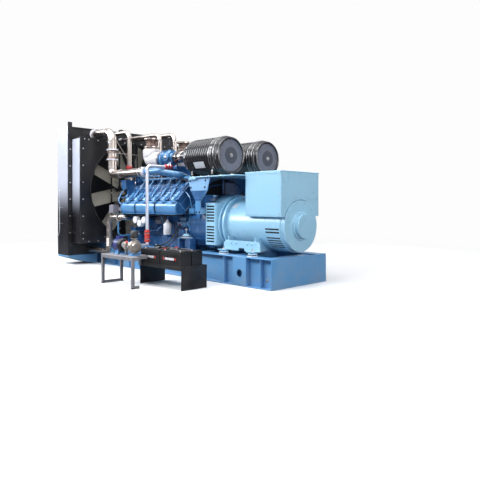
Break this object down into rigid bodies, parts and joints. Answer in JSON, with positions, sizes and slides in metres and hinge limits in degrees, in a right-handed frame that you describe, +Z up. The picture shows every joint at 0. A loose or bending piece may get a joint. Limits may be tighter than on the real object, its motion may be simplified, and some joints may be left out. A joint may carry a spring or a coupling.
{
  "type": "open diesel generator set",
  "caption": "Diesel engine and alternator on a shared steel frame, with a radiator and fan at one end, air filters on top, and a battery bench and heater stand beside it.",
  "frame": {"origin": "middle of the base frame's underside, on the floor", "axes": "+X along the crankshaft towards the alternator, +Y away from the battery side, +Z up"},
  "size_m": [5.305, 3.17, 2.79],
  "materials": {
    "frame_paint": "semi-gloss paint",
    "engine_paint": "gloss paint on castings",
    "manifold_paint": "gloss paint",
    "alternator_paint": "satin paint",
    "black_sheet": "satin powder coat",
    "radiator_side_sheet": "gloss coated sheet that mirrors the room",
    "radiator_fins": "fins, dark coated",
    "fan_plastic": "moulded grey fan blades",
    "rotor_steel": "dark machined iron",
    "stainless_pipe": "brushed stainless tube",
    "red_hose": "red silicone hose",
    "black_rubber": "black rubber",
    "filter_housing": "moulded black housing",
    "exhaust_lagging": "silvery white lagging cloth",
    "battery_case": "moulded black cases",
    "stand_steel": "silver paint",
    "heater_paint": "blue and silver castings",
    "filter_can_paint": "white painted cans",
    "control_box_paint": "grey box"
  },
  "bodies": {
    "set": {"adapter_louvres": "alternator_paint", "air_filters": "filter_housing", "air_manifolds": "manifold_paint", "alternator_adapter": "alternator_paint", "alternator_band": "alternator_paint", "alternator_barrel": "alternator_paint", "alternator_end_cover": "alternator_paint", "alternator_feet": "alternator_paint", "batteries": "battery_case", "battery_bench": "black_sheet", "battery_cable_minus": "black_rubber", "battery_cable_plus": "black_rubber", "charge_air_cooler": "engine_paint", "control_box": "control_box_paint", "coolant_outlet": "engine_paint", "coolant_pipes": "stainless_pipe", "crankcase": "engine_paint", "cross_members": "frame_paint", "cylinder_heads": "engine_paint", "engine_mounts": "engine_paint", "exhaust_bellows": "stainless_pipe", "exhaust_pipes": "exhaust_lagging", "fan_belt": "black_rubber", "fan_guard_bars": "black_sheet", "filter_ducts": "filter_housing", "filter_platform": "alternator_paint", "filter_saddles": "black_sheet", "flywheel_housing": "engine_paint", "gear_case": "engine_paint", "heater_pipes": "stainless_pipe", "heater_plate": "stand_steel", "heater_pump_set": "heater_paint", "heater_stand": "stand_steel", "hose_couplings": "red_hose", "isolators": "black_rubber", "lifting_pockets": "frame_paint", "oil_and_fuel_filters": "filter_can_paint", "oil_pan": "engine_paint", "platform_gussets": "alternator_paint", "radiator_core": "radiator_fins", "radiator_edge_flanges": "black_sheet", "radiator_outriggers": "frame_paint", "radiator_sides": "radiator_side_sheet", "radiator_tanks": "black_sheet", "rail_far": "frame_paint", "rail_near": "frame_paint", "rocker_covers": "engine_paint", "shroud_box": "black_sheet", "shroud_front": "black_sheet", "starter_motor": "engine_paint", "terminal_box": "alternator_paint", "turbo_table": "engine_paint", "turbochargers": "engine_paint", "vent_pipes": "stainless_pipe"},
    "fan": {"fan_rotor": "rotor_steel", "fan_blades": "fan_plastic"}
  },
  "joints": [
    {"name": "fan_spin", "type": "hinge", "parent": "set", "child": "fan", "pos_m": [-1.86, 0, 1.465], "axis": [1, 0, 0], "continuous": true}
  ]
}
